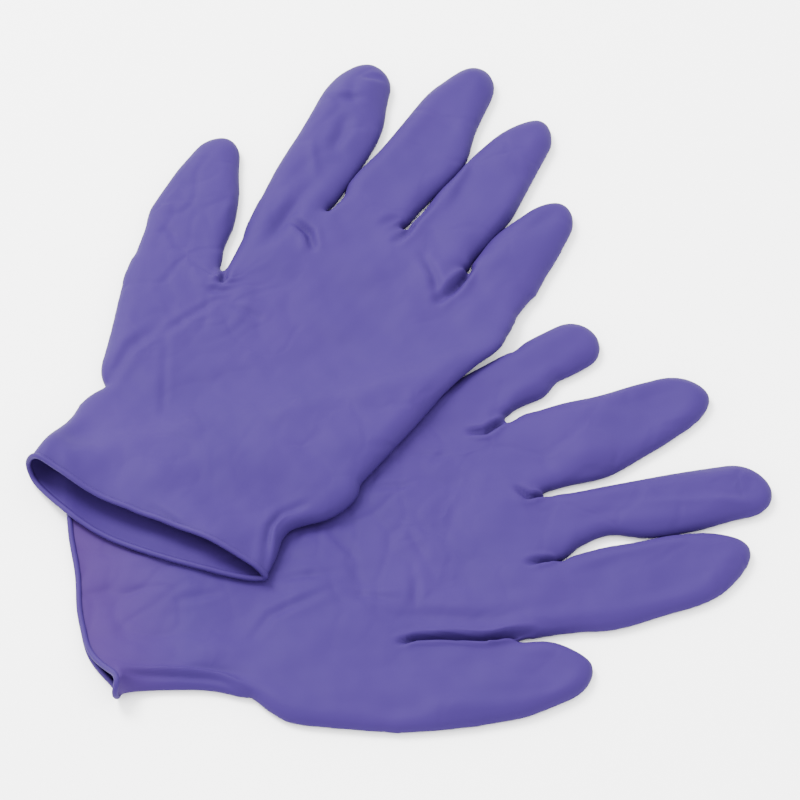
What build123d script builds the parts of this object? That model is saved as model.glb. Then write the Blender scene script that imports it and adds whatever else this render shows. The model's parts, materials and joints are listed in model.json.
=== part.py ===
from build123d import *
import os
from math import atan2, cos, degrees, radians, sin, sqrt

# A pair of thin disposable examination gloves, empty and lying flat, one resting on the other.
# Row frame: +Z up, the table at z = 0, the fingers of the resting glove point away along +Y and
# those of the covered glove along +X. All sizes in mm.

# sizes shared by both gloves
film = 0.1  # thickness of the dipped film
lay_height = 7.0  # an empty glove's height, softly puffed
edge_round = lay_height / 2 - 0.1  # the film turns over along every side
bead_radius = 0.8  # rolled bead round the mouth
cuff_width = 100.0  # flat width of the mouth
cuff_corner = 4.6  # plan radius where the cuff's sides meet the mouth
knuckle_set = 6.0  # the palm's film is rounded off this far below each digit's root
knuckle_ease = 0.9  # and that much narrower than the digit
mouth_run = 12.0  # how far the cuff is drawn past the mouth before it is cut straight

# clearances
split_gap = 0.6  # between a digit and the stub it bends from
rest_gap = 0.5  # between the covered glove and the one that rests on it
bead_gap = 0.05  # between the film's end and the bead rolled up from it
floor_gap = 0.05  # under the resting glove's fingertips

# one row per digit: root x, root y, heading from the glove's own axis in degrees, run from the
# root's centre to the tip's centre, radius at root, middle and tip, sideways bow of the middle,
# and where along the run the digit is divided from its glove. Local +X is the thumb's side.
covered_digits = {
    "thumb": (60.0, 99.0, 6.0, 49.0, 18.4, 17.6, 15.8, 0.5, 4.0),
    "index_finger": (33.5, 150.5, -2.5, 62.5, 13.9, 15.4, 14.8, 1.3, 4.5),
    "middle_finger": (4.0, 156.8, -2.7, 73.0, 13.1, 12.4, 12.4, 0.0, 4.0),
    "ring_finger": (-27.0, 153.0, -12.6, 63.5, 14.6, 15.2, 13.4, 1.0, 5.0),
    "little_finger": (-54.8, 143.4, -24.8, 46.0, 12.0, 12.0, 10.5, 0.0, 27.0),
}
resting_digits = {
    "thumb": (48.3, 101.3, 15.0, 62.5, 17.0, 16.2, 9.8, 0.5, 8.0),
    "index_finger": (26.0, 140.6, 5.6, 80.0, 11.7, 13.4, 11.8, 0.0, 12.0),
    "middle_finger": (0.7, 157.4, -2.4, 80.0, 12.6, 14.0, 11.3, -4.0, 6.5),
    "ring_finger": (-29.4, 154.4, -4.4, 70.5, 13.6, 12.9, 10.3, -3.3, 7.0),
    "little_finger": (-58.2, 141.0, -2.8, 51.0, 13.4, 12.2, 10.0, -1.5, 5.0),
}

# round corners the palm, the thumb's base and the cuff are stretched over: x, y, radius
covered_palm = ((18.0, 84.0, 20.0), (40.0, 57.0, 13.0), (-47.0, 54.0, 13.0), (-50.0, 116.0, 18.0))
covered_heel = ((50.0, 68.0, 20.0), (28.0, 52.0, 20.0), (20.0, 82.0, 15.0))
covered_wrist = ((46.0, 46.0, 12.0), (-49.0, 44.0, 12.0))
resting_palm = ((11.0, 96.0, 19.0), (27.0, 53.0, 12.0), (-47.0, 54.0, 13.0), (-53.0, 114.0, 16.0))
resting_heel = ((37.0, 62.0, 15.0), (20.0, 50.0, 15.0), (12.0, 88.0, 13.0))
resting_wrist = ((32.0, 43.0, 12.0), (-49.0, 44.0, 12.0))

# how each glove lies on the table: mouth centre x, y, heading of its axis from +X, slant of its mouth
covered_lay = (-108.3, -83.0, 9.6, 2.4)
resting_lay = (-89.8, -60.0, 61.8, 5.0)
first_crossing = 20.0  # y of the covered glove's farthest point that the other rests on


def circles_of(digit):
    """Root, middle and tip circles of one digit, as x, y, radius."""
    x, y, heading, run, r_root, r_mid, r_tip, bow, _ = digit
    a = radians(heading)
    along = (sin(a), cos(a))
    across = (cos(a), -sin(a))
    mid = (x + along[0] * run / 2 + across[0] * bow, y + along[1] * run / 2 + across[1] * bow)
    tip = (x + along[0] * run, y + along[1] * run)
    return ((x, y, r_root), (mid[0], mid[1], r_mid), (tip[0], tip[1], r_tip))


def knuckle(digit):
    """Where the palm's film rounds off under a digit."""
    x, y, heading, _, r_root = digit[:5]
    a = radians(heading)
    return (x - knuckle_set * sin(a), y - knuckle_set * cos(a), r_root - knuckle_ease)


def pillow(circles, inset):
    """A slab stretched over the circles, its edges turned over. The inset gives the film's inside."""
    rims = [Pos(x, y) * Circle(r - inset) for x, y, r in circles]
    outline = make_hull([rim.edge() for rim in rims])
    slab = Pos(0, 0, inset) * extrude(outline, lay_height - 2 * inset)
    ends = slab.edges().filter_by(GeomType.LINE, reverse=True) + slab.edges().filter_by(GeomType.LINE)
    level = [e for e in ends if abs(e.bounding_box().size.Z) < 1e-6]
    return fillet(level, edge_round - inset)


def beyond(digit, at, half_width=40.0, reach=200.0):
    """A block holding everything of a digit past the given run along it."""
    x, y, heading = digit[0], digit[1], digit[2]
    a = radians(heading)
    block = Box(2 * half_width, reach, 3 * lay_height, align=(Align.CENTER, Align.MIN, Align.CENTER))
    placed = Pos(x + at * sin(a), y + at * cos(a), lay_height / 2) * Rot(0, 0, -heading) * block
    return placed


def lane_of(digit):
    """The room a digit takes in plan, with half the split's clearance round it."""
    rims = [Pos(x, y) * Circle(r + split_gap / 2) for x, y, r in circles_of(digit)]
    return Pos(0, 0, -lay_height) * extrude(make_hull([rim.edge() for rim in rims]), 3 * lay_height)


def mouth_block(slant, depth=60.0):
    """Everything on the open side of the film's end, which meets the bead along its inner edge."""
    bite = sqrt(bead_radius**2 - (bead_radius - film) ** 2)
    block = Box(3 * cuff_width, depth, 4 * lay_height, align=(Align.CENTER, Align.MAX, Align.CENTER))
    return Pos(0, 0, lay_height / 2) * Rot(0, 0, slant) * Pos(0, bite + bead_gap, 0) * block


def cuff_corners(slant, wrist):
    """The cuff's two corner circles, set past the mouth along the cuff's own sides."""
    corners = []
    for side, (wx, wy, wr) in zip((1, -1), wrist):
        x_mouth = side * (cuff_width / 2 - cuff_corner)
        y_mouth = x_mouth * sin(radians(slant))
        step_x, step_y = x_mouth + side * cuff_corner - (wx + side * wr), y_mouth - wy
        stretch = mouth_run / abs(step_y)
        corners.append((x_mouth + step_x * stretch, y_mouth + step_y * stretch, cuff_corner))
    return tuple(corners)


def film_volume(digits, palm, heel, wrist, slant, inset):
    """The glove's whole outside, or its inside when inset by the film."""
    knuckles = tuple(knuckle(digits[name]) for name in list(digits)[1:])
    volume = pillow(palm + knuckles, inset)
    volume += pillow(heel + (knuckle(digits["thumb"]),), inset)
    volume += pillow(wrist + cuff_corners(slant, wrist), inset)
    return volume


def glove(digits, palm, heel, wrist, slant):
    """One glove in its own frame: a dict of its body, bead and five digits."""
    outside = film_volume(digits, palm, heel, wrist, slant, 0)
    inside = film_volume(digits, palm, heel, wrist, slant, film)
    parts = {}
    for name, digit in digits.items():
        circles = circles_of(digit)
        finger_out = pillow(circles, 0)
        finger_in = pillow(circles, film)
        cut = digit[8]
        outside += finger_out - beyond(digit, cut)
        inside += finger_in - beyond(digit, cut + 2 * split_gap)
        parts[name] = (finger_out - finger_in) & beyond(digit, cut + split_gap)
    body = outside - inside - mouth_block(slant)
    for name, digit in digits.items():
        body -= lane_of(digit) & beyond(digit, digit[8])
    bead = rolled_bead(outside, slant)
    parts["glove_body"] = body
    parts["glove_bead"] = bead
    return parts


def rolled_bead(outside, slant):
    """A round ring rolled up at the mouth, flush with the film's outside."""
    a = radians(slant)
    run, normal = (cos(a), sin(a), 0), (-sin(a), cos(a), 0)
    end = section(outside, section_by=Plane(origin=(0, 0, 0), x_dir=run, z_dir=normal)).bounding_box()
    wide = (end.max.X - end.min.X) / cos(a)
    middle = ((end.max.X + end.min.X) / 2, (end.max.Y + end.min.Y) / 2, lay_height / 2)
    tall = lay_height - 2 * bead_radius
    oval = RectangleRounded(wide - 2 * bead_radius, tall, tall / 2 - 0.05)
    path = (Plane(origin=middle, x_dir=run, z_dir=normal) * oval).face().outer_wire()
    start = path @ 0
    along = path % 0
    rod = Plane(origin=start, z_dir=along) * Circle(bead_radius)
    return sweep(rod, path=path)


def lay_down(shape, lay, hand):
    """Turn a glove from its own frame to its place on the table. A left-handed lay is mirrored."""
    x, y, heading, _ = lay
    if hand < 0:
        shape = mirror(shape, about=Plane.YZ)
    return Pos(x, y, 0) * Rot(0, 0, heading - 90) * shape


covered = glove(covered_digits, covered_palm, covered_heel, covered_wrist, covered_lay[3])
resting = glove(resting_digits, resting_palm, resting_heel, resting_wrist, -resting_lay[3])
covered = {name: lay_down(shape, covered_lay, 1) for name, shape in covered.items()}
resting = {name: lay_down(shape, resting_lay, -1) for name, shape in resting.items()}

# the resting glove leans: its fingertips touch the table and its cuff rides on the covered glove
tip_line = max(shape.bounding_box().max.Y for shape in resting.values())
lean = atan2(lay_height + rest_gap, tip_line - first_crossing)
tilted = {}
for name, shape in resting.items():
    tilted[name] = Pos(0, tip_line, floor_gap) * Rot(-degrees(lean), 0, 0) * Pos(0, -tip_line, 0) * shape

nodes = {"lower_" + name: shape for name, shape in covered.items()}
nodes.update({"upper_" + name: shape for name, shape in tilted.items()})

# the row's origin is the middle of the pair's footprint, on the table
boxes = [shape.bounding_box() for shape in nodes.values()]
mid_x = (max(b.max.X for b in boxes) + min(b.min.X for b in boxes)) / 2
mid_y = (max(b.max.Y for b in boxes) + min(b.min.Y for b in boxes)) / 2
bottom = min(b.min.Z for b in boxes)

os.makedirs("parts", exist_ok=True)
for name, shape in nodes.items():
    export_step(Pos(-mid_x, -mid_y, -bottom) * shape, "parts/" + name + ".step")
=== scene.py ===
import json
import math
import bpy
import numpy as np
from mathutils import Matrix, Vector, kdtree

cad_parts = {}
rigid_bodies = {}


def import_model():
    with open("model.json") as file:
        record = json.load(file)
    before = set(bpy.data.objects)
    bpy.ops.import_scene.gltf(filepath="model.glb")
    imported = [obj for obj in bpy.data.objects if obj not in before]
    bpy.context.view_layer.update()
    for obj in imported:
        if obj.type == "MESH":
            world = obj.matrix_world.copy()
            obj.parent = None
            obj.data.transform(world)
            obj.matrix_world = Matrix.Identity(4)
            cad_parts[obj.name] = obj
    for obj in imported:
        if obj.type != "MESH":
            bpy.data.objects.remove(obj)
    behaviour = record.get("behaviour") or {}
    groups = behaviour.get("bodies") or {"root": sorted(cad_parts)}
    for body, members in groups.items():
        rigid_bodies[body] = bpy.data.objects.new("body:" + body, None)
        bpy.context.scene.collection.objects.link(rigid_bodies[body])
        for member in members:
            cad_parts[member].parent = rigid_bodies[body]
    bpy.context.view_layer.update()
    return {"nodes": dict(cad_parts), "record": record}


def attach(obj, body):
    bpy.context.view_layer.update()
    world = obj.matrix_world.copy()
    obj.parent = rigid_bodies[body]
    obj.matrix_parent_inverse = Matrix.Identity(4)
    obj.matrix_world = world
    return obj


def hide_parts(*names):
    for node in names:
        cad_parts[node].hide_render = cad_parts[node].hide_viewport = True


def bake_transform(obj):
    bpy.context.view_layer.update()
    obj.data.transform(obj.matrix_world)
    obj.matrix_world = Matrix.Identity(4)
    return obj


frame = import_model()
record = frame["record"]
nodes = frame["nodes"]
mounts = {m["name"]: m for m in record["mounts"]}
joints = {j["name"]: j for j in record["behaviour"]["joints"]}
mm = 0.001
print("frame loaded")

studio = {
    "aim": (2.7, -9.0, 0.0), "distance": 1440.0, "elevation": 52.0, "lens": 180.0,  # mm and degrees
    "floorSize": 6.0, "floorDrop": 0.0002, "worldStrength": 4.1,  # m
    "lampPlace": (-0.9, 0.8, 1.5), "lampSize": 0.9, "lampPower": 100,  # m and W
}


def setCamera():
    data = bpy.data.cameras.new("studioCamera")
    data.lens = studio["lens"]
    data.sensor_width = 36.0
    data.clip_end = 20.0
    cam = bpy.data.objects.new("studioCamera", data)
    bpy.context.scene.collection.objects.link(cam)
    tilt = math.radians(studio["elevation"])
    aim = Vector(studio["aim"]) * mm
    back = Vector((0, -math.cos(tilt), math.sin(tilt))) * studio["distance"] * mm
    cam.location = aim + back
    cam.rotation_euler = (math.pi / 2 - tilt, 0, 0)
    bpy.context.scene.camera = cam


def areaLight(name, place, size, power):
    data = bpy.data.lights.new(name, "AREA")
    data.shape = "DISK"
    data.size = size
    data.energy = power
    lamp = bpy.data.objects.new(name, data)
    bpy.context.scene.collection.objects.link(lamp)
    lamp.location = place
    aim = Vector() - Vector(place)
    lamp.rotation_euler = aim.to_track_quat("-Z", "Y").to_euler()


def setStudio():
    setCamera()
    bpy.ops.mesh.primitive_grid_add(
        x_subdivisions=8, y_subdivisions=8, size=studio["floorSize"], location=(0, 0, -studio["floorDrop"]))
    floor = bpy.context.object
    floor.name = "studioFloor"
    mat = bpy.data.materials.new("paleFloor")
    mat.use_nodes = True
    shader = mat.node_tree.nodes["Principled BSDF"]
    shader.inputs["Base Color"].default_value = (0.97, 0.97, 0.97, 1)
    shader.inputs["Roughness"].default_value = 0.9
    shader.inputs["Specular IOR Level"].default_value = 0.1
    floor.data.materials.append(mat)
    world = bpy.data.worlds.new("softRoom")
    world.use_nodes = True
    world.node_tree.nodes["Background"].inputs["Color"].default_value = (1, 1, 1, 1)
    world.node_tree.nodes["Background"].inputs["Strength"].default_value = studio["worldStrength"]
    bpy.context.scene.world = world
    areaLight("keyLight", studio["lampPlace"], studio["lampSize"], studio["lampPower"])


setStudio()
print("studio ready")


def onlySelect(obj):
    if bpy.context.object and bpy.context.object.mode != "OBJECT":
        bpy.ops.object.mode_set(mode="OBJECT")
    bpy.ops.object.select_all(action="DESELECT")
    obj.select_set(True)
    bpy.context.view_layer.objects.active = obj


def pointsOf(obj):
    co = np.empty(len(obj.data.vertices) * 3)
    obj.data.vertices.foreach_get("co", co)
    return co.reshape(-1, 3) * 1000  # worked on in mm


def putPoints(obj, co):
    obj.data.vertices.foreach_set("co", (co * mm).ravel())
    obj.data.update()


def copyOfNode(name):
    twin = nodes[name].copy()
    twin.data = nodes[name].data.copy()
    twin.hide_render = False
    twin.hide_viewport = False
    twin.parent = None
    bpy.context.scene.collection.objects.link(twin)
    onlySelect(twin)
    bpy.ops.object.mode_set(mode="EDIT")
    bpy.ops.mesh.select_all(action="SELECT")
    bpy.ops.mesh.remove_doubles(threshold=1e-6)
    bpy.ops.object.mode_set(mode="OBJECT")
    return twin


def stretchedHull(name, shift):
    twin = copyOfNode(name)
    bpy.ops.object.mode_set(mode="EDIT")
    bpy.ops.mesh.select_all(action="SELECT")
    bpy.ops.mesh.duplicate()
    bpy.ops.transform.translate(value=shift)
    bpy.ops.mesh.select_all(action="SELECT")
    bpy.ops.mesh.convex_hull()
    bpy.ops.object.mode_set(mode="OBJECT")
    return twin


def smooth01(x):
    x = np.clip(x, 0, 1)
    return x * x * (3 - 2 * x)


def dome(x):
    x = np.clip(x, 0, 1)
    return np.sqrt(1 - (1 - x) ** 2)


# nearest distance to a polyline, the share of its length there, and the side (+ left of the way it runs)
def alongLine(xy, line):
    pts = np.array(line, float)
    legs = np.linalg.norm(np.diff(pts, axis=0), axis=1)
    total = legs.sum()
    best = np.full(len(xy), 1e9)
    share = np.zeros(len(xy))
    side = np.zeros(len(xy))
    run = 0.0
    for a, b, leg in zip(pts[:-1], pts[1:], legs):
        way = (b - a) / leg
        rel = xy - a
        u = np.clip(rel @ way, 0, leg)
        off = rel - u[:, None] * way
        gap = np.linalg.norm(off, axis=1)
        near = gap < best
        best[near] = gap[near]
        share[near] = (run + u[near]) / total
        side[near] = np.sign(way[0] * rel[near, 1] - way[1] * rel[near, 0])
        run += leg
    return best, share, side


# smooth random undulation of about unit height
def waves(xy, size, seed, count=14):
    rng = np.random.default_rng(seed)
    out = np.zeros(len(xy))
    for _ in range(count):
        ang = rng.uniform(0, math.tau)
        length = size * rng.uniform(0.7, 1.6)
        k = math.tau / length * np.array([math.cos(ang), math.sin(ang)])
        out += np.cos(xy @ k + rng.uniform(0, math.tau))
    return out / math.sqrt(count / 2)


digitNames = ("thumb", "index_finger", "middle_finger", "ring_finger", "little_finger")
voxel = 1.0  # mm
layHeight = 7.0  # height of a laid glove in the frame, mm
filmThickness = 0.18  # mm
edgeRadius = 1.05  # of the rolled edge, mm
scoreReach = 4  # how far a bending line is looked for round its digit, mm
widestHalf = 22  # no digit reaches further to either side of its middle, mm
edgePlug = 12  # how far the closed mouth is drawn out before it is cut open, mm
digitPlug = 6  # how far each digit is drawn back into the palm, mm


def hinge(side, digit):
    joint = joints[f"{side}_{digit}_bend"]
    way = Vector((0, 0, 1)).cross(Vector(joint["axis"]))
    return Vector(joint["pos_m"]), way.normalized()


squeeze = 0.045  # digits are this much narrower while the film is fused, so that neighbours stay apart


def narrowDigit(part, spot, way, share):
    left = np.array((-way.y, way.x, 0))
    co = pointsOf(part)
    across = (co - np.array(spot) * 1000) @ left
    putPoints(part, co + np.outer(across * share, left))


def makeBlank(side):
    mouth = mounts[f"{side}_hand_opening"]
    outward = Vector(mouth["axis"])
    body = copyOfNode(f"{side}_glove_body")
    others = [stretchedHull(f"{side}_glove_bead", outward * edgePlug * mm)]
    for digit in digitNames:
        spot, way = hinge(side, digit)
        part = stretchedHull(f"{side}_{digit}", way * -digitPlug * mm)
        if (side, digit) != ("lower", "thumb"):
            narrowDigit(part, spot, way, -squeeze)
        others.append(part)
    onlySelect(body)
    for part in others:
        part.select_set(True)
    bpy.ops.object.join()
    body = bpy.context.object
    body.name = f"{side}Blank"
    mod = body.modifiers.new("fuse", "REMESH")
    mod.mode = "VOXEL"
    mod.voxel_size = voxel * mm
    bpy.ops.object.modifier_apply(modifier="fuse")
    mod = body.modifiers.new("ease", "SMOOTH")
    mod.factor = 0.5
    mod.iterations = 5
    bpy.ops.object.modifier_apply(modifier="ease")
    return body


bendAhead = {  # how far past each joint line both edges of the digit stand free, mm
    "lower": {"thumb": 1, "index_finger": 9, "middle_finger": 4, "ring_finger": 3, "little_finger": 0},
    "upper": {"thumb": 14, "index_finger": 6, "middle_finger": 3, "ring_finger": 3, "little_finger": 10},
}


# where a digit's own film begins, and the way it points
def frontOf(side, digit):
    spot, way = hinge(side, digit)
    return spot + way * bendAhead[side][digit] * mm, way


def selectFaces(obj, chosen):
    bpy.ops.object.mode_set(mode="OBJECT")
    obj.data.polygons.foreach_set("select", chosen)
    bpy.ops.object.mode_set(mode="EDIT")
    bpy.ops.mesh.select_mode(type="FACE")


def scoreLine(blank, near, spot, way):
    selectFaces(blank, near)
    bpy.ops.mesh.select_mode(type="EDGE")
    bpy.ops.mesh.bisect(plane_co=spot, plane_no=way)
    bpy.ops.mesh.mark_seam(clear=False)
    bpy.ops.mesh.select_all(action="DESELECT")


# opens the mouth, scores the five bending lines, and returns the part number of every face
def cutBlank(blank, side):
    mouth = mounts[f"{side}_hand_opening"]
    co = pointsOf(blank)
    rim = co[np.abs(co[:, 2] - bottomOf(side, co[:, :2]) - layHeight / 2) < 0.6]
    onlySelect(blank)
    bpy.ops.object.mode_set(mode="EDIT")
    bpy.ops.mesh.select_all(action="SELECT")
    bpy.ops.mesh.bisect(plane_co=mouth["pos_m"], plane_no=mouth["axis"], clear_outer=True)
    for digit in digitNames:
        spot, way = frontOf(side, digit)
        centre = np.array(spot) * 1000
        left = np.array((-way.y, way.x, 0))
        near = rim[np.abs((rim - centre) @ np.array(way)) < 0.7]
        edges = (near - centre) @ left
        low, high = edges[edges < 0].max(), min(edges[edges > 0].min(), widestHalf)
        bpy.ops.object.mode_set(mode="OBJECT")
        if (side, digit) == ("lower", "thumb"):  # this thumb lies tight against the palm
            own = (pointsOf(nodes["lower_thumb"]) - centre) @ left
            high = own.max() + 0.3
            rel = faceCentres(blank) - centre
            beside = (np.abs(rel @ left - high) < 3) & (rel @ np.array(way) > -1.5) & (rel @ np.array(way) < 60)
            scoreLine(blank, beside, spot + Vector(left) * high * mm, Vector(left))
            bpy.ops.object.mode_set(mode="OBJECT")
        rel = faceCentres(blank) - centre
        across = rel @ left
        acrossOk = (across > low - scoreReach) & (across < high + scoreReach)
        print(side, digit, "edges", round(float(low), 1), round(float(high), 1))
        scoreLine(blank, acrossOk & (np.abs(rel @ np.array(way)) < scoreReach), spot, way)
    bpy.ops.object.mode_set(mode="OBJECT")
    part = np.zeros(len(blank.data.polygons), int)
    for number, digit in enumerate(digitNames, 1):
        spot, way = frontOf(side, digit)
        seed = np.array(spot + way * 0.012) * 1000
        chosen = np.zeros(len(part), bool)
        chosen[int(np.linalg.norm(faceCentres(blank) - seed, axis=1).argmin())] = True
        selectFaces(blank, chosen)
        bpy.ops.mesh.select_linked(delimit={"SEAM"})
        bpy.ops.object.mode_set(mode="OBJECT")
        blank.data.polygons.foreach_get("select", chosen)
        part[chosen] = number
        print(side, digit, "faces", int(chosen.sum()))
    return part


def faceCentres(obj):
    co = np.empty(len(obj.data.polygons) * 3)
    obj.data.polygons.foreach_get("center", co)
    return co.reshape(-1, 3) * 1000


def linksOf(obj):
    links = np.empty(len(obj.data.edges) * 2, np.int32)
    obj.data.edges.foreach_get("vertices", links)
    return links.reshape(-1, 2)


# averages a value over neighbouring points
def evenOut(values, links, rounds):
    count = np.bincount(links.ravel(), minlength=len(values))
    for _ in range(rounds):
        total = np.zeros(len(values))
        np.add.at(total, links[:, 0], values[links[:, 1]])
        np.add.at(total, links[:, 1], values[links[:, 0]])
        values = (values + total / count) / 2
    return values


# plan distance of every point to the glove's side edge, which runs at half the lay height
def edgeDistance(co, local, links):
    a, b = links[:, 0], links[:, 1]
    high = local - layHeight / 2
    crossing = high[a] * high[b] < 0
    a, b = a[crossing], b[crossing]
    share = (high[a] / (high[a] - high[b]))[:, None]
    rim = co[a] * (1 - share) + co[b] * share
    tree = kdtree.KDTree(len(rim))
    for i, p in enumerate(rim):
        tree.insert((p[0], p[1], 0), i)
    tree.balance()
    found = np.array([tree.find((p[0], p[1], 0))[2] for p in co])
    return evenOut(found, links, 3)


gridStep = 2.5  # mm
gridLow, gridHigh = (-160, -120), (110, 175)  # corners of the height map, mm
drapeRounds = 500
drapeSag = 0.028  # how far the hung film sinks in each round, mm


# height of the laid glove's flat underside in the frame
def bottomOf(side, xy):
    if side == "lower":
        return np.zeros(len(xy))
    mouth = mounts["upper_hand_opening"]
    ax, px = mouth["axis"], mouth["pos_m"]
    up = Vector((0, ax[2] / -ax[1], 1)).normalized()
    base = Vector(px) - up * layHeight / 2 * mm
    return base.z * 1000 - (xy[:, 1] - base.y * 1000) * up.y / up.z


# height of a film let down over what lies below it, on a square grid
def drape(top):
    below = np.zeros([len(np.arange(low, high, gridStep)) for low, high in zip(gridLow, gridHigh)])
    i = np.clip(((top[:, 0] - gridLow[0]) / gridStep + 0.5).astype(int), 0, below.shape[0] - 1)
    j = np.clip(((top[:, 1] - gridLow[1]) / gridStep + 0.5).astype(int), 0, below.shape[1] - 1)
    np.maximum.at(below, (i, j), top[:, 2])
    film = below
    for _ in range(drapeRounds):
        wide = np.pad(film, 1, mode="edge")
        film = (wide[2:, 1:-1] + wide[:-2, 1:-1] + wide[1:-1, 2:] + wide[1:-1, :-2]) / 4 - drapeSag
        film = np.maximum(film, below)
    for _ in range(2):
        wide = np.pad(film, 1, mode="edge")
        film = (film * 4 + wide[2:, 1:-1] + wide[:-2, 1:-1] + wide[1:-1, 2:] + wide[1:-1, :-2]) / 8
    return film


def sampleGrid(film, xy):
    fx = np.clip((xy[:, 0] - gridLow[0]) / gridStep, 0, film.shape[0] - 1.001)
    fy = np.clip((xy[:, 1] - gridLow[1]) / gridStep, 0, film.shape[1] - 1.001)
    i, j = fx.astype(int), fy.astype(int)
    u, v = fx - i, fy - j
    return (film[i, j] * (1 - u) * (1 - v) + film[i + 1, j] * u * (1 - v)
            + film[i, j + 1] * (1 - u) * v + film[i + 1, j + 1] * u * v)


# the part number of every point, digits before palm
def vertexParts(blank, part):
    number = np.zeros(len(blank.data.vertices), int)
    starts = np.zeros(len(blank.data.loops), np.int32)
    blank.data.loops.foreach_get("vertex_index", starts)
    sizes = np.zeros(len(blank.data.polygons), np.int32)
    blank.data.polygons.foreach_get("loop_total", sizes)
    np.maximum.at(number, starts, np.repeat(part, sizes))
    return number


def shapeFilm(blank, glove, lying, part):
    side = glove["side"]
    mouth = mounts[f"{side}_hand_opening"]
    co = pointsOf(blank)
    local = co[:, 2] - bottomOf(side, co[:, :2])
    upper = local > layHeight / 2
    inset = edgeDistance(co, local, linksOf(blank))
    xy = co[:, :2].copy()
    owner = vertexParts(blank, part)
    for number, digit in enumerate(digitNames, 1):
        if (side, digit) == ("lower", "thumb"):
            continue
        spot, way = hinge(side, digit)
        left = np.array((-way.y, way.x))
        rel = xy - np.array(spot)[:2] * 1000
        ahead = rel @ np.array(way)[:2] - bendAhead[side][digit]
        wider = (rel @ left) * squeeze * smooth01(ahead / 8) * (owner == number)
        xy += np.outer(wider, left)
    for whose, x, y, dx, dy, reach in glove["pulls"]:  # soft pulls on the outline
        gap = np.hypot(co[:, 0] - x, co[:, 1] - y)
        strength = np.exp(-((gap / reach) ** 2))
        if whose != "all":
            number = digitNames.index(whose) + 1
            spot, way = hinge(side, whose)
            ahead = (co - np.array(spot) * 1000) @ np.array(way) - bendAhead[side][whose]
            strength = strength * (owner == number) * smooth01(ahead / 6)
        xy += np.outer(strength, (dx, dy))
    for x, y, share, reach in glove["pinches"]:  # draws the film together where two digits meet
        rel = co[:, :2] - (x, y)
        strength = share * np.exp(-((rel ** 2).sum(1) / reach ** 2))
        xy -= strength[:, None] * rel
    out = np.array(mouth["axis"][:2])
    out /= np.linalg.norm(out)
    rel = co[:, :2] - np.array(mouth["pos_m"][:2]) * 1000
    back = np.maximum(-(rel @ out), 0)
    across = np.clip(rel @ np.array((-out[1], out[0])) / 49, -1, 1)
    lip = (1 - across ** 2) ** 0.8
    xy[upper] -= (glove["lipBack"] * lip * np.exp(-((back / 24) ** 2)))[upper, None] * out
    xy[~upper] += (glove["lipOut"] * lip * np.exp(-((back / 22) ** 2)))[~upper, None] * out
    rise = glove["full"] - glove["sag"] * smooth01((inset - 13) / 22)
    rise = rise + glove["lipUp"] * lip * np.exp(-((back / 30) ** 2))
    rise = rise * (1 - glove["flatMouth"] * np.exp(-((back / 26) ** 2)))
    calm = smooth01(inset / 9)
    rise = rise + calm * (0.6 * waves(co[:, :2], 60, glove["seed"]) + 0.32 * waves(co[:, :2], 24, glove["seed"] + 1)
                          + 0.07 * waves(co[:, :2], 9, glove["seed"] + 2))
    rim = np.full(len(co), glove["rim"])
    for x, y, reach, sideUp, topUp in glove["stands"]:  # where the film stands open
        near = np.exp(-(((co[:, 0] - x) ** 2 + (co[:, 1] - y) ** 2) / reach ** 2))
        rim += sideUp * near
        rise += topUp * near
    for x, y, reach, amount in glove["crumples"]:
        near = np.exp(-(((co[:, 0] - x) ** 2 + (co[:, 1] - y) ** 2) / reach ** 2)) * amount * calm
        rise -= near * np.exp(-((waves(co[:, :2], 26, glove["seed"] + 5) / 0.3) ** 2))
        rise -= near * 0.7 * np.exp(-((waves(co[:, :2], 19, glove["seed"] + 6) / 0.35) ** 2))
    high = rim + (rise - rim) * dome(inset / 7)
    low = rim * (1 - dome(inset / 5)) + 0.15 + 1.0 * np.exp(-((back / 3.5) ** 2))  # the rolled edge lifts the film
    for mark in glove["marks"]:
        gap, share, hand = alongLine(co[:, :2], mark["line"])
        wide, deep = mark["wide"], mark["deep"]
        ends = np.sin(np.pi * np.clip(share, 0, 1)).clip(0) ** 0.7
        fade = np.clip(inset / 2.5, 0, 1)
        if mark["kind"] == "valley":
            dent = -deep * np.exp(-((gap / wide) ** 2)) + 0.3 * deep * np.exp(-(((gap - 2.1 * wide) / wide) ** 2))
        elif mark["kind"] == "ridge":
            dent = deep * np.exp(-((gap / wide) ** 2))
        else:  # a step, down on the right-hand side
            dent = deep * 0.5 * np.tanh(hand * gap / wide) * np.exp(-((gap / (4 * wide)) ** 2))
        high = high + dent * ends * fade
    high = np.maximum(high, low + 0.35 * np.clip(inset, 0, 1))
    floor = sampleGrid(lying, xy) if lying is not None else np.zeros(len(xy))
    co[:, :2] = xy
    co[:, 2] = floor + np.where(upper, high, low) + glove["lift"]
    putPoints(blank, co)
    onlySelect(blank)
    mod = blank.modifiers.new("ease", "SMOOTH")
    mod.factor = 0.5
    mod.iterations = glove["ease"]
    bpy.ops.object.modifier_apply(modifier="ease")
    return upper


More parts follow.
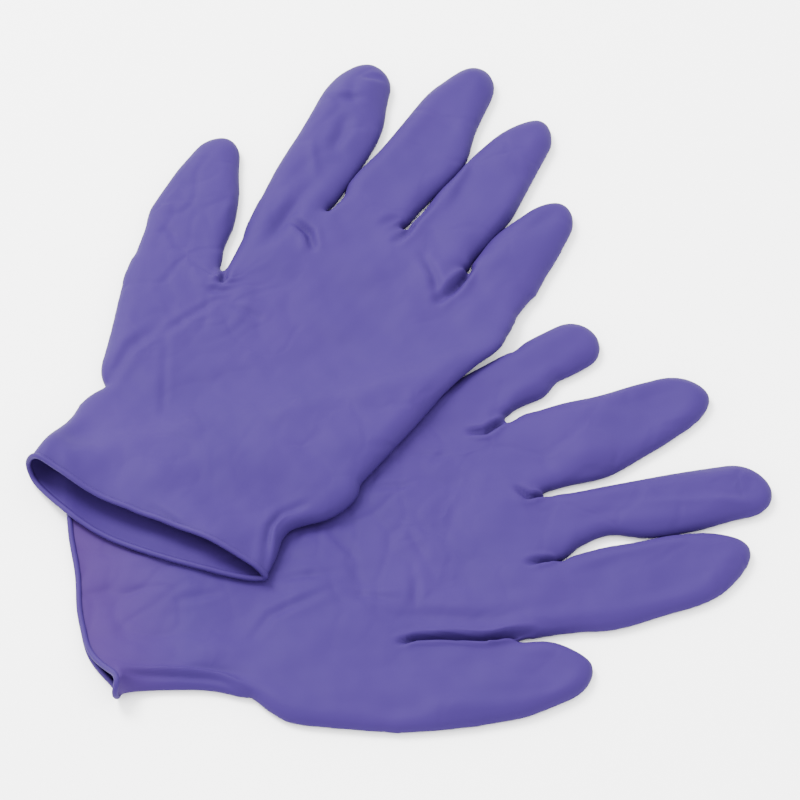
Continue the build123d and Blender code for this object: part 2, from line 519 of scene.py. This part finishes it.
# the rolled rim of the mouth, a round cord along the film's open edge
def rolledEdge(blank, side):
    onlySelect(blank)
    bpy.ops.object.mode_set(mode="EDIT")
    bpy.ops.mesh.select_mode(type="EDGE")
    bpy.ops.mesh.select_all(action="DESELECT")
    bpy.ops.mesh.select_non_manifold()
    bpy.ops.mesh.duplicate()
    bpy.ops.mesh.separate(type="SELECTED")
    bpy.ops.object.mode_set(mode="OBJECT")
    rim = [o for o in bpy.context.selected_objects if o is not blank][0]
    onlySelect(rim)
    bpy.ops.object.mode_set(mode="EDIT")
    bpy.ops.mesh.select_all(action="SELECT")
    bpy.ops.mesh.vertices_smooth(factor=0.5, repeat=6)
    bpy.ops.object.mode_set(mode="OBJECT")
    bpy.ops.object.convert(target="CURVE")
    rim = bpy.context.object
    rim.data.bevel_depth = edgeRadius * mm
    rim.data.bevel_resolution = 3
    bpy.ops.object.convert(target="MESH")
    rim = bpy.context.object
    rim.name = f"{side}RolledEdge"
    bpy.ops.object.shade_smooth()
    return rim


# parts the shaped film at the bending lines and gives each piece its thickness
def cutPieces(blank, part, side):
    normals = np.empty(len(blank.data.vertices) * 3)
    blank.data.vertex_normals.foreach_get("vector", normals)
    keep = blank.data.attributes.new("filmNormal", "FLOAT_VECTOR", "POINT")
    keep.data.foreach_set("vector", normals)
    number = blank.data.attributes.new("partNumber", "INT", "FACE")
    number.data.foreach_set("value", part.astype(np.int32))
    pieces = {}
    for index, digit in enumerate(digitNames, 1):
        onlySelect(blank)
        values = np.zeros(len(blank.data.polygons), np.int32)
        blank.data.attributes["partNumber"].data.foreach_get("value", values)
        selectFaces(blank, values == index)
        bpy.ops.mesh.separate(type="SELECTED")
        bpy.ops.object.mode_set(mode="OBJECT")
        piece = [o for o in bpy.context.selected_objects if o is not blank][0]
        piece.name = f"{side}_{digit}_film"
        pieces[digit] = piece
    blank.name = f"{side}_palm_film"
    pieces["glove_body"] = blank
    for piece in pieces.values():
        onlySelect(piece)
        mod = piece.modifiers.new("film", "SOLIDIFY")
        mod.thickness = filmThickness * mm
        mod.offset = -1
        bpy.ops.object.modifier_apply(modifier="film")
        bpy.ops.object.shade_smooth()
        count = len(piece.data.vertices)
        stored = np.empty(count * 3)
        piece.data.attributes["filmNormal"].data.foreach_get("vector", stored)
        stored = stored.reshape(-1, 3)
        stored[count // 2:] *= -1
        piece.data.normals_split_custom_set_from_vertices(stored)
        for extra in ("filmNormal", "partNumber"):
            piece.data.attributes.remove(piece.data.attributes[extra])
    return pieces


def filmMaterial(name, base):
    mat = bpy.data.materials.new(name)
    mat.use_nodes = True
    tree = mat.node_tree
    shader = tree.nodes["Principled BSDF"]
    shader.inputs["Roughness"].default_value = base["rough"]
    shader.inputs["Specular IOR Level"].default_value = 0.08
    place = tree.nodes.new("ShaderNodeTexCoord")
    cloud = tree.nodes.new("ShaderNodeTexNoise")
    cloud.inputs["Scale"].default_value = 22
    cloud.inputs["Detail"].default_value = 3
    ramp = tree.nodes.new("ShaderNodeValToRGB")
    ramp.color_ramp.elements[0].position = 0.3
    ramp.color_ramp.elements[0].color = (*base["dark"], 1)
    ramp.color_ramp.elements[1].position = 0.7
    ramp.color_ramp.elements[1].color = (*base["light"], 1)
    tree.links.new(place.outputs["Object"], cloud.inputs["Vector"])
    tree.links.new(cloud.outputs["Fac"], ramp.inputs["Fac"])
    tree.links.new(ramp.outputs["Color"], shader.inputs["Base Color"])
    grain = tree.nodes.new("ShaderNodeTexNoise")  # the film's faint skin
    grain.inputs["Scale"].default_value = 150
    grain.inputs["Detail"].default_value = 6
    wander = tree.nodes.new("ShaderNodeTexNoise")
    wander.inputs["Scale"].default_value = 60
    bent = tree.nodes.new("ShaderNodeMixRGB")
    bent.inputs["Fac"].default_value = 0.012
    creases = tree.nodes.new("ShaderNodeTexVoronoi")  # fine crumple lines between flat facets
    creases.feature = "DISTANCE_TO_EDGE"
    creases.inputs["Scale"].default_value = base["facets"]
    sharp = tree.nodes.new("ShaderNodeMapRange")
    sharp.interpolation_type = "SMOOTHSTEP"
    sharp.inputs["From Max"].default_value = 0.10
    patch = tree.nodes.new("ShaderNodeTexNoise")
    patch.inputs["Scale"].default_value = 11
    patchy = tree.nodes.new("ShaderNodeMapRange")
    patchy.inputs["From Min"].default_value = 0.42
    patchy.inputs["From Max"].default_value = 0.62
    both = tree.nodes.new("ShaderNodeMath")
    both.operation = "MULTIPLY"
    height = tree.nodes.new("ShaderNodeMath")
    height.operation = "MULTIPLY_ADD"
    height.inputs[1].default_value = 0.3
    bump = tree.nodes.new("ShaderNodeBump")
    bump.inputs["Strength"].default_value = 0.4
    bump.inputs["Distance"].default_value = 0.0005
    for node in (grain, wander, patch):
        tree.links.new(place.outputs["Object"], node.inputs["Vector"])
    tree.links.new(place.outputs["Object"], bent.inputs["Color1"])
    tree.links.new(wander.outputs["Color"], bent.inputs["Color2"])
    tree.links.new(bent.outputs["Color"], creases.inputs["Vector"])
    tree.links.new(creases.outputs["Distance"], sharp.inputs["Value"])
    tree.links.new(patch.outputs["Fac"], patchy.inputs["Value"])
    tree.links.new(sharp.outputs["Result"], both.inputs[0])
    tree.links.new(patchy.outputs["Result"], both.inputs[1])
    tree.links.new(grain.outputs["Fac"], height.inputs[0])
    tree.links.new(both.outputs["Value"], height.inputs[2])
    tree.links.new(height.outputs["Value"], bump.inputs["Height"])
    tree.links.new(bump.outputs["Normal"], shader.inputs["Normal"])
    if base["cuff"]:  # the film is thinner and pinker towards the mouth
        split = tree.nodes.new("ShaderNodeSeparateXYZ")
        fade = tree.nodes.new("ShaderNodeMapRange")
        fade.inputs["From Min"].default_value = base["cuff"][0]
        fade.inputs["From Max"].default_value = base["cuff"][1]
        fade.inputs["To Min"].default_value = 1
        fade.inputs["To Max"].default_value = 0
        warm = tree.nodes.new("ShaderNodeMixRGB")
        warm.inputs["Color2"].default_value = (*base["pink"], 1)
        tree.links.new(place.outputs["Object"], split.inputs["Vector"])
        tree.links.new(split.outputs["X"], fade.inputs["Value"])
        tree.links.new(fade.outputs["Result"], warm.inputs["Fac"])
        tree.links.new(ramp.outputs["Color"], warm.inputs["Color1"])
        tree.links.new(warm.outputs["Color"], shader.inputs["Base Color"])
    return mat


nitrile = {
    "rough": 0.66, "dark": (0.0196, 0.0086, 0.0700), "light": (0.0218, 0.0094, 0.0745),
    "pink": (0.0290, 0.0105, 0.0720), "facets": 38, "cuff": None,
}
lowerFilm = filmMaterial("lowerNitrile", {**nitrile, "cuff": (-0.118, -0.070)})
upperFilm = filmMaterial("upperNitrile", nitrile)
rolledFilm = filmMaterial("rolledNitrile", {**nitrile, "rough": 0.6})


def makeGlove(glove, lying):
    side = glove["side"]
    blank = makeBlank(side)
    part = cutBlank(blank, side)
    upper = shapeFilm(blank, glove, lying, part)
    edge = rolledEdge(blank, side)
    top = np.vstack((pointsOf(blank)[upper], pointsOf(edge)))
    pieces = cutPieces(blank, part, side)
    film = lowerFilm if side == "lower" else upperFilm
    for name, piece in pieces.items():
        piece.data.materials.clear()
        piece.data.materials.append(film)
        node = f"{side}_{name}"
        if name == "glove_body":
            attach(piece, f"{side}_glove")
        else:
            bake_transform(piece)
        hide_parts(node)
    edge.data.materials.clear()
    edge.data.materials.append(rolledFilm)
    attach(edge, f"{side}_glove")
    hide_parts(f"{side}_glove_bead")
    print(side, "glove made")
    return top


def valley(deep, wide, *line):
    return {"kind": "valley", "deep": deep, "wide": wide, "line": line}


def ridge(deep, wide, *line):
    return {"kind": "ridge", "deep": deep, "wide": wide, "line": line}


def step(deep, wide, *line):
    return {"kind": "step", "deep": deep, "wide": wide, "line": line}


lowerGlove = {
    "side": "lower", "seed": 11, "full": 6.2, "sag": 1.3, "rim": 1.5, "ease": 2, "lift": 0.0,
    "lipBack": 0.0, "lipOut": 0.0, "lipUp": 0.0, "flatMouth": 0.5,
    "pulls": (
        ("little_finger", 62, 14, 0.5, 2.2, 22), ("little_finger", 54, -8, -0.3, 3.0, 11),
        ("ring_finger", 95, -8, 0.5, 2.8, 30), ("ring_finger", 96, -2, 0, -1.0, 10),
        ("ring_finger", 108, -24, -2.0, 1.5, 10), ("all", 43, -18, 0.5, 3.0, 9),
        ("ring_finger", 57, -16, 0, 3.4, 14), ("ring_finger", 78, -45, 0, -2.8, 15),
        ("ring_finger", 112, -10, 1.8, 0, 8),
        ("middle_finger", 100, -48, 0, 2.0, 40), ("middle_finger", 74, -75, 0, 6.0, 12),
        ("middle_finger", 124, -68, -0.3, 2.0, 11), ("middle_finger", 132, -54, 0.8, 0.2, 8),
        ("index_finger", 124, -80, 2.6, 3.0, 11), ("index_finger", 96, -78, 0, 3.2, 17),
        ("index_finger", 72, -80, 0, 3.0, 13), ("index_finger", 120, -95, -2.5, 4.5, 13),
        ("index_finger", 98, -108, 0, 1.6, 14), ("thumb", 69, -128, 2.6, 2.0, 9),
        ("thumb", 60, -149, -2.5, 4.0, 12), ("thumb", 38, -155, 0, 1.2, 15), ("all", -46, -149, 0, 2.4, 10),
        ("all", -82, -143, 0, 5.0, 16), ("all", -64, -140, 0, 3.8, 12), ("all", -101, -137, 6.5, -1.2, 8),
        ("all", -106, -120, -1.5, 0, 7), ("all", -57, -138, 0, 1.4, 8), ("all", 32, -114, 0, -2.4, 12),
        ("all", -114, -72, -2.4, 0, 18), ("all", -109, -105, -3.4, 0, 16),
    ),
    "pinches": ((42, -20, 0.7, 6), (54, -53.5, 0.7, 6), (58, -82.5, 0.7, 6)),
    "stands": ((-98, -139, 9, 5.0, 8.5),),
    "crumples": ((-90, -95, 30, 0.6), (-10, -65, 34, 0.6), (100, -5, 16, 0.3), (125, -50, 12, 0.3),
    (0, -105, 20, 0.2)),
    "marks": (
        valley(3.4, 1.1, (26, -27), (33, -28), (42, -22)), valley(0.7, 1.4, (-7, -52), (8, -51)),
        valley(0.7, 1.4, (13, -41), (19, -37)), valley(0.8, 1.5, (-24, -67), (-12, -83)),
        valley(0.7, 1.4, (5, -70), (12, -83)), valley(0.6, 1.4, (8, -90), (8, -103)),
        valley(0.7, 1.5, (-17, -97), (3, -100)), valley(0.6, 1.5, (-42, -92), (-17, -88)),
        valley(0.9, 1.6, (-19, -95), (-42, -107), (-49, -118)), valley(0.6, 1.5, (-57, -97), (-77, -101)),
        valley(3.4, 1.1, (43, -52), (47, -57), (58, -55)), valley(3.2, 1.1, (46, -86), (61, -82)),
        valley(6.5, 1.05, (1, -118.6), (8, -115.9), (42, -113.6), (50, -113.2)), valley(1.0, 2.2, (3, -106),
        (33, -107), (48, -105)),
        ridge(1.4, 1.4, (-97, -131), (-72, -134), (-57, -136), (-45, -141)),
        valley(1.2, 1.4, (-97, -134), (-72, -137), (-57, -139), (-45, -144)),
        ridge(0.6, 1.3, (60, -90), (80, -84), (105, -78)), ridge(0.6, 1.4, (84, -62), (112, -60), (128, -62)),
    ),
}

upperGlove = {
    "side": "upper", "seed": 29, "full": 6.6, "sag": 1.3, "rim": 1.6, "ease": 2, "lift": 0.35,
    "lipBack": 1.0, "lipOut": 9.0, "lipUp": 2.6, "flatMouth": 0.0,
    "pulls": (
        ("index_finger", -3, 116, 5.0, -1.0, 15), ("index_finger", -35, 114, 1.2, -0.4, 22),
        ("index_finger", -18.5, 150, 2.2, -1.6, 9), ("index_finger", -56, 66, -4.4, 1.8, 10),
        ("index_finger", -8, 104, 1.6, -0.6, 10),
        ("index_finger", -16, 92, 2.4, -0.8, 13), ("middle_finger", -10, 92, -1.4, 0.8, 12),
        ("middle_finger", 20, 148, 2.4, -1.8, 9), ("middle_finger", 36, 146, 0.4, 1.4, 8),
        ("middle_finger", 26, 102, 2.4, 0, 12), ("ring_finger", 58, 124, 1.4, 1.6, 8),
        ("ring_finger", 46, 122, 1.8, -1.4, 8), ("ring_finger", 32, 102, -1.0, 0.8, 12),
        ("ring_finger", 55, 130, 0.2, 1.2, 8), ("ring_finger", 20, 85, -1.2, 1.0, 12),
        ("little_finger", 65, 80, 0.6, 1.6, 8), ("little_finger", 53, 80, 1.2, -1.0, 8),
        ("little_finger", 38, 62, -2.0, 1.6, 12), ("little_finger", 44, 25, 3.6, -1.4, 12),
        ("little_finger", 55, 45, -0.8, 0.4, 8),
        ("all", 37, 11, 3.6, -2.0, 11), ("thumb", -62, 114, 0.6, 1.4, 8), ("thumb", -72, 108, 1.2, -1.2, 9),
        ("thumb", -58, 84, 1.2, 0, 12), ("thumb", -62, 57, -2.4, 0, 10), ("all", -61, 56, -1.5, -10, 11),
        ("all", -101, 40, -0.8, 0, 14), ("all", -109, -13, -2.4, 1.8, 9), ("all", -120, -27, -0.6, 1.0, 14),
        ("all", -131, -42, 2.6, 3.0, 12), ("all", -122, -58, 1.2, 1.6, 10), ("all", -29, -79, -6.0, 5.6, 11),
    ),
    "pinches": ((-23, 77, 0.75, 7), (6, 71, 0.75, 7), (29, 50, 0.75, 7)),
    "stands": ((-130, -38, 17, 4.8, 10.0),),
    "crumples": ((-80, 80, 32, 0.55), (-20, 128, 26, 0.5), (-60, 30, 22, 0.35), (-70, -40, 40, 0.2),
    (20, 40, 26, 0.2)),
    "marks": (
        valley(1.5, 2.4, (-47, 58), (-38, 75), (-30, 91)), valley(1.1, 1.7, (-25, 104), (-19, 124)),
        ridge(0.9, 1.5, (-30, 92), (-32, 111)), valley(1.0, 1.3, (-24, 131), (-12, 131)),
        valley(0.7, 1.3, (-12, 142), (-4, 142)), valley(2.8, 1.4, (-38, 71), (-31, 64), (-29, 55)),
        valley(2.6, 1.4, (0, 58), (8, 67), (18, 84)), valley(0.8, 1.3, (-5, 67), (0, 74)),
        valley(1.4, 1.5, (10, 55), (15, 43), (17, 31)), valley(3.0, 1.5, (15, 30), (22, 37), (34, 55)),
        valley(3.0, 1.2, (-63, 42), (-61, 49), (-60, 58)), valley(1.0, 1.4, (-67, 37), (-58, 38)),
        valley(0.8, 1.4, (-63, 34), (-75, 24), (-85, 15)), valley(0.8, 1.4, (-59, 30), (-47, 24)),
        valley(0.9, 2.0, (-105, -12), (-95, 10), (-82, 22)), valley(0.4, 1.2, (-82, 18), (-82, -29)),
        valley(1.2, 1.8, (-45, -98), (-41, -75), (-37, -68), (-28, -63)),
        valley(0.9, 1.4, (-86, -66), (-72, -78)), step(1.8, 1.0, (20, 74), (29, 94), (37, 124)),
        step(2.0, 1.0, (20, 37), (36, 62), (54, 93)), ridge(0.7, 1.4, (-60, 88), (-64, 70)),
    ),
}

lowerTop = makeGlove(lowerGlove, None)
draped = drape(lowerTop)
makeGlove(upperGlove, draped)
